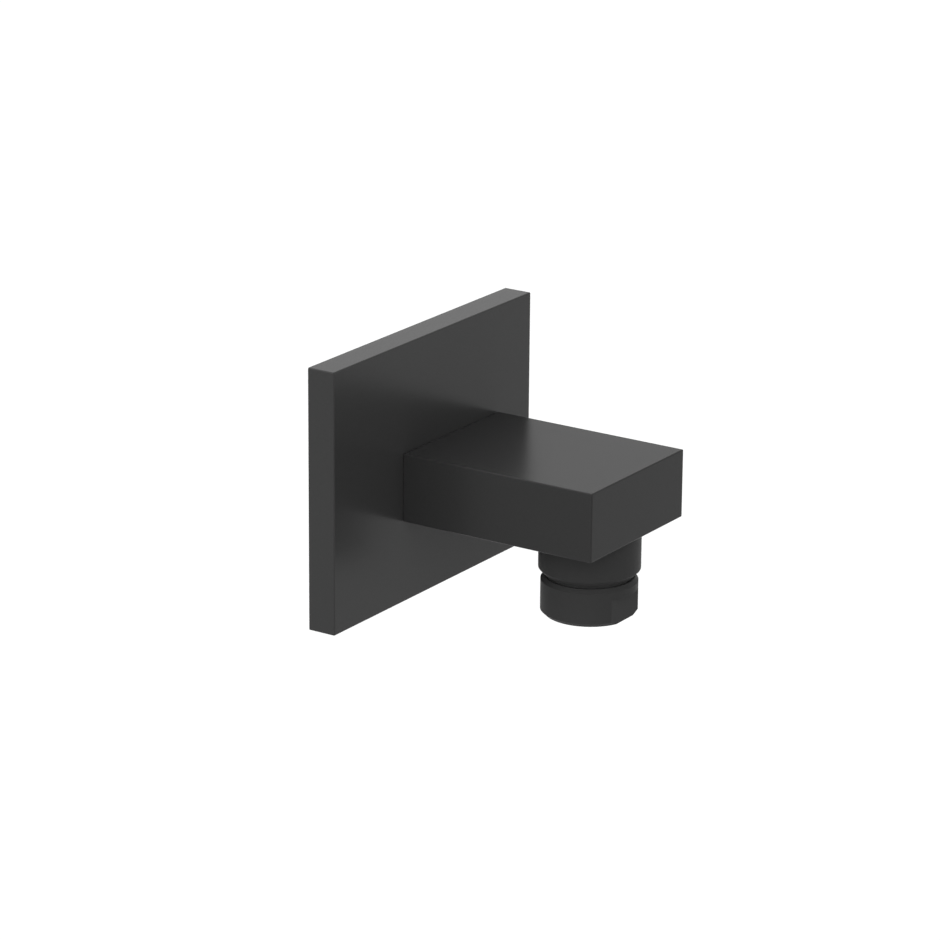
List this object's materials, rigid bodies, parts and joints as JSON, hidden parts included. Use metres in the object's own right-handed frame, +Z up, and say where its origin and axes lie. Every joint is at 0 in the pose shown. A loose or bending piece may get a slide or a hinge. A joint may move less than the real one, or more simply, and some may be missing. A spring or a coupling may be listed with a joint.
{
  "type": "wall outlet elbow",
  "caption": "Wall outlet elbow for a shower hose: a flat rectangular plate, a rectangular arm, and a round outlet nipple pointing down with a non-return valve inside.",
  "frame": {"origin": "on the inlet thread's axis, in the plane of the finished wall that the back of the plate lies on", "axes": "+X to the right as the fitting is faced, +Y into the wall along the inlet thread, +Z up; the outlet points along -Z"},
  "size_m": [0.075, 0.0689, 0.0579],
  "materials": {
    "black_plate": "satin",
    "black_arm": "satin",
    "black_outlet": "satin",
    "bare_brass": "satin",
    "screw_steel": "satin",
    "spring_steel": "polished",
    "foam_gasket": "matte",
    "seal_rubber": "satin",
    "fibre_washer": "matte",
    "valve_plastic": "satin",
    "poppet_plastic": "satin"
  },
  "bodies": {
    "elbow": {"wall_plate": "black_plate", "plate_gasket": "foam_gasket", "arm_body": "black_arm", "inlet_nipple": "bare_brass", "inlet_washer": "fibre_washer", "spigot_o_ring_inner": "seal_rubber", "spigot_o_ring_outer": "seal_rubber", "arm_grub_screw": "screw_steel", "plate_screw_left": "screw_steel", "plate_screw_right": "screw_steel", "outlet_nipple": "black_outlet", "outlet_o_ring": "seal_rubber", "valve_housing": "valve_plastic", "valve_seat_cap": "valve_plastic", "valve_spring": "spring_steel", "valve_o_ring": "seal_rubber"},
    "poppet": {"valve_poppet": "poppet_plastic", "valve_poppet_seal": "seal_rubber"}
  },
  "joints": [
    {"name": "poppet_slide", "type": "slide", "parent": "elbow", "child": "poppet", "axis": [0, 0, -1], "range_m": [0, 0.0025], "stiffness_N_per_m": 40, "springref_m": -0.003, "deforming": ["valve_spring"]}
  ]
}
